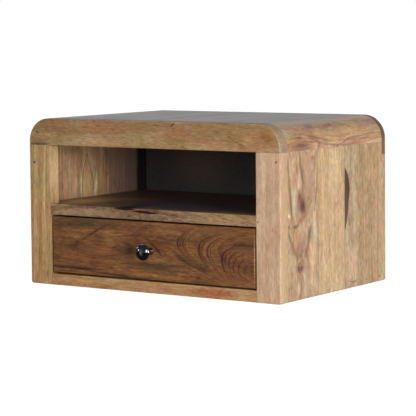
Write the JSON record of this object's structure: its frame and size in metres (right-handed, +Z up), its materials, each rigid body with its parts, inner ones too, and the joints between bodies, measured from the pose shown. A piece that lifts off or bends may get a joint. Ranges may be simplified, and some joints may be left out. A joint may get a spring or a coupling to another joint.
{
  "type": "floating nightstand",
  "caption": "Wall-hung wooden nightstand with rounded upper corners, an open niche and a sliding drawer with a round metal knob.",
  "frame": {"origin": "middle of the back hanging rail's wall face", "axes": "+X to the viewer's right, +Y towards the wall, +Z up; the drawer opens along -Y"},
  "size_m": [0.45, 0.3231, 0.252],
  "materials": {
    "rail_wood": "satin lacquered hardwood",
    "stile_wood": "satin lacquered hardwood",
    "top_wood": "satin lacquered hardwood",
    "side_wood": "satin lacquered hardwood",
    "shelf_wood": "satin lacquered hardwood",
    "inner_wood": "sanded, unfinished",
    "back_wood": "matt lacquered hardwood",
    "dowel_wood": "sanded, unfinished",
    "drawer_front_wood": "satin lacquered dark hardwood",
    "drawer_box_wood": "sanded, unfinished",
    "plywood": "sanded plywood",
    "dark_nickel": "polished dark nickel",
    "zinc_steel": "zinc plated"
  },
  "bodies": {
    "cabinet": {"front_top_rail": "rail_wood", "front_left_stile": "stile_wood", "front_right_stile": "stile_wood", "front_bottom_rail": "rail_wood", "left_stile_dowel": "dowel_wood", "right_stile_dowel": "dowel_wood", "left_rail_dowel": "dowel_wood", "right_rail_dowel": "dowel_wood", "left_corner_block": "top_wood", "right_corner_block": "top_wood", "top_plank_1": "top_wood", "top_plank_2": "top_wood", "top_plank_3": "top_wood", "top_plank_4": "top_wood", "left_side_plank_1": "side_wood", "left_side_plank_2": "side_wood", "left_side_plank_3": "side_wood", "left_side_plank_4": "side_wood", "right_side_plank_1": "side_wood", "right_side_plank_2": "side_wood", "right_side_plank_3": "side_wood", "right_side_plank_4": "side_wood", "shelf_front_plank": "shelf_wood", "shelf_rear_plank": "shelf_wood", "bottom_board": "inner_wood", "back_plank_1": "back_wood", "back_plank_2": "back_wood", "back_plank_3": "back_wood", "left_niche_bead": "back_wood", "right_niche_bead": "back_wood", "back_hanging_rail": "rail_wood", "left_hanger_plate": "zinc_steel", "right_hanger_plate": "zinc_steel", "left_drawer_guide": "inner_wood", "right_drawer_guide": "inner_wood", "left_drawer_stop": "inner_wood", "right_drawer_stop": "inner_wood"},
    "drawer": {"drawer_front": "drawer_front_wood", "drawer_left_side": "drawer_box_wood", "drawer_right_side": "drawer_box_wood", "drawer_back": "drawer_box_wood", "drawer_bottom": "plywood", "drawer_knob": "dark_nickel", "drawer_knob_screw": "zinc_steel"}
  },
  "joints": [
    {"name": "drawer_slide", "type": "slide", "parent": "cabinet", "child": "drawer", "axis": [0, -1, 0], "range_m": [0, 0.2]}
  ]
}
